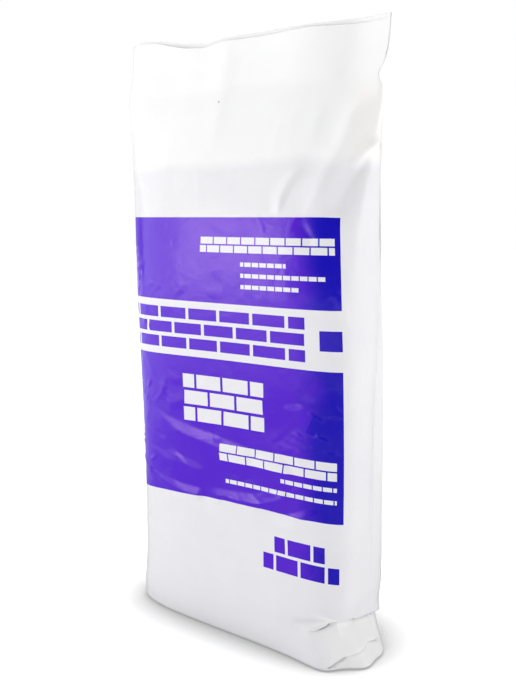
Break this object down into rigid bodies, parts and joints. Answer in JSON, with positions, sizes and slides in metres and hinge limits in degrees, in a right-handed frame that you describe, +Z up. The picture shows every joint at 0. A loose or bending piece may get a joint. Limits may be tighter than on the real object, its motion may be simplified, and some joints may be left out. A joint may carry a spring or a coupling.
{
  "type": "bag of cement",
  "caption": "Small upright pillow bag of white plastic film, filled with cement powder: welded top with free lips, rounded shoulders and a flat foot.",
  "frame": {"origin": "on the flat base, under the middle of the sack", "axes": "+Z up along the bag's height, +Y from the printed front to the back, +X to the right as the front is read"},
  "size_m": [0.2258, 0.0806, 0.4108],
  "materials": {
    "white_film": "satin polyethylene film, slightly see-through, with a violet print",
    "grey_powder": "fine matt powder"
  },
  "bodies": {
    "root": {"film_sack": "white_film", "cement_fill": "grey_powder"}
  },
  "joints": []
}
